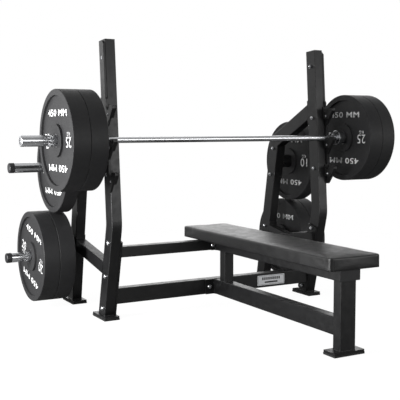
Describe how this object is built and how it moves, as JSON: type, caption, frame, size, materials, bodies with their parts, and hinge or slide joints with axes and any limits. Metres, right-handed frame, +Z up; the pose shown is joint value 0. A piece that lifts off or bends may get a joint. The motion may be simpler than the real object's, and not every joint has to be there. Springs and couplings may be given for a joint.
{
  "type": "olympic bench press",
  "caption": "Flat olympic bench press: a padded bench bolted to a steel rack with stepped bar hooks, a loaded barbell and pegs that store spare bumper plates.",
  "frame": {"origin": "on the floor, in the middle of the footprint of the frame, the bar and all plates", "axes": "+X along the bar to the lifter's left when lying on the bench with the head under the bar, +Y from the bench's foot end to the plate storage, +Z up"},
  "size_m": [2.06, 1.7274, 1.305],
  "materials": {
    "frame_paint": "satin black powder coat",
    "foot_rubber": "matt moulded rubber",
    "plywood": "raw plywood, hidden under the pad",
    "pad_vinyl": "grained black vinyl upholstery",
    "cap_plastic": "moulded black plastic",
    "plate_metal": "brushed silver",
    "liner_plastic": "smooth dark wear plastic",
    "bright_fastener": "bright zinc plate",
    "chrome_steel": "polished hard chrome",
    "bronze": "oiled bronze",
    "bumper_rubber": "fine crumb rubber, satin",
    "hub_steel": "turned steel"
  },
  "bodies": {
    "frame": {"left_front_upright": "frame_paint", "left_rear_post": "frame_paint", "left_upper_brace": "frame_paint", "left_side_rail": "frame_paint", "right_front_upright": "frame_paint", "right_rear_post": "frame_paint", "right_upper_brace": "frame_paint", "right_side_rail": "frame_paint", "foot_plates": "frame_paint", "rubber_foot_pads": "foot_rubber", "cross_end_plates": "frame_paint", "lower_cross_member": "frame_paint", "upper_cross_member": "frame_paint", "bench_rail_flanges": "frame_paint", "bench_lower_rail": "frame_paint", "bench_foot_leg": "frame_paint", "bench_head_leg": "frame_paint", "pad_support_rail": "frame_paint", "pad_board": "plywood", "bench_pad": "pad_vinyl", "tube_end_caps": "cap_plastic", "name_plate": "plate_metal", "left_hook_plate": "frame_paint", "right_hook_plate": "frame_paint", "hook_liners": "liner_plastic", "liner_rivets": "bright_fastener", "left_storage_pegs": "chrome_steel", "right_storage_pegs": "chrome_steel", "peg_brackets": "frame_paint", "peg_end_caps": "cap_plastic", "frame_bolts": "bright_fastener", "frame_nuts": "bright_fastener", "pad_screws": "bright_fastener"},
    "barbell": {"bar_shaft": "chrome_steel"},
    "left_sleeve_assembly": {"left_sleeve": "chrome_steel", "left_sleeve_bushings": "bronze", "left_sleeve_end_cap": "chrome_steel"},
    "left_inner_bar_weight": {"left_inner_bar_plate": "bumper_rubber", "left_inner_bar_hub": "hub_steel"},
    "left_outer_bar_weight": {"left_outer_bar_plate": "bumper_rubber", "left_outer_bar_hub": "hub_steel"},
    "left_upper_stored_weight": {"left_upper_stored_plate": "bumper_rubber", "left_upper_stored_hub": "hub_steel"},
    "left_lower_inner_stored_weight": {"left_lower_inner_stored_plate": "bumper_rubber", "left_lower_inner_stored_hub": "hub_steel"},
    "left_lower_outer_stored_weight": {"left_lower_outer_stored_plate": "bumper_rubber", "left_lower_outer_stored_hub": "hub_steel"},
    "right_sleeve_assembly": {"right_sleeve": "chrome_steel", "right_sleeve_bushings": "bronze", "right_sleeve_end_cap": "chrome_steel"},
    "right_inner_bar_weight": {"right_inner_bar_plate": "bumper_rubber", "right_inner_bar_hub": "hub_steel"},
    "right_outer_bar_weight": {"right_outer_bar_plate": "bumper_rubber", "right_outer_bar_hub": "hub_steel"},
    "right_upper_stored_weight": {"right_upper_stored_plate": "bumper_rubber", "right_upper_stored_hub": "hub_steel"},
    "right_lower_inner_stored_weight": {"right_lower_inner_stored_plate": "bumper_rubber", "right_lower_inner_stored_hub": "hub_steel"},
    "right_lower_outer_stored_weight": {"right_lower_outer_stored_plate": "bumper_rubber", "right_lower_outer_stored_hub": "hub_steel"}
  },
  "joints": [
    {"name": "barbell_lift", "type": "slide", "parent": "frame", "child": "barbell", "axis": [0, -0.4226, 0.9063], "range_m": [0, 0.1]},
    {"name": "left_sleeve_spin", "type": "hinge", "parent": "barbell", "child": "left_sleeve_assembly", "pos_m": [-0.85, 0.11527, 0.847], "axis": [1, 0, 0], "continuous": true},
    {"name": "left_inner_bar_plate_off", "type": "slide", "parent": "left_sleeve_assembly", "child": "left_inner_bar_weight", "axis": [-1, 0, 0], "range_m": [0, 0.32]},
    {"name": "left_outer_bar_plate_off", "type": "slide", "parent": "left_inner_bar_weight", "child": "left_outer_bar_weight", "axis": [-1, 0, 0], "range_m": [0, 0.24]},
    {"name": "left_upper_stored_plate_off", "type": "slide", "parent": "frame", "child": "left_upper_stored_weight", "axis": [-1, 0, 0], "range_m": [0, 0.29]},
    {"name": "left_lower_inner_stored_plate_off", "type": "slide", "parent": "frame", "child": "left_lower_inner_stored_weight", "axis": [-1, 0, 0], "range_m": [0, 0.29]},
    {"name": "left_lower_outer_stored_plate_off", "type": "slide", "parent": "left_lower_inner_stored_weight", "child": "left_lower_outer_stored_weight", "axis": [-1, 0, 0], "range_m": [0, 0.21]},
    {"name": "right_sleeve_spin", "type": "hinge", "parent": "barbell", "child": "right_sleeve_assembly", "pos_m": [0.85, 0.11527, 0.847], "axis": [1, 0, 0], "continuous": true},
    {"name": "right_inner_bar_plate_off", "type": "slide", "parent": "right_sleeve_assembly", "child": "right_inner_bar_weight", "axis": [1, 0, 0], "range_m": [0, 0.32]},
    {"name": "right_outer_bar_plate_off", "type": "slide", "parent": "right_inner_bar_weight", "child": "right_outer_bar_weight", "axis": [1, 0, 0], "range_m": [0, 0.24]},
    {"name": "right_upper_stored_plate_off", "type": "slide", "parent": "frame", "child": "right_upper_stored_weight", "axis": [1, 0, 0], "range_m": [0, 0.29]},
    {"name": "right_lower_inner_stored_plate_off", "type": "slide", "parent": "frame", "child": "right_lower_inner_stored_weight", "axis": [1, 0, 0], "range_m": [0, 0.29]},
    {"name": "right_lower_outer_stored_plate_off", "type": "slide", "parent": "right_lower_inner_stored_weight", "child": "right_lower_outer_stored_weight", "axis": [1, 0, 0], "range_m": [0, 0.21]}
  ]
}
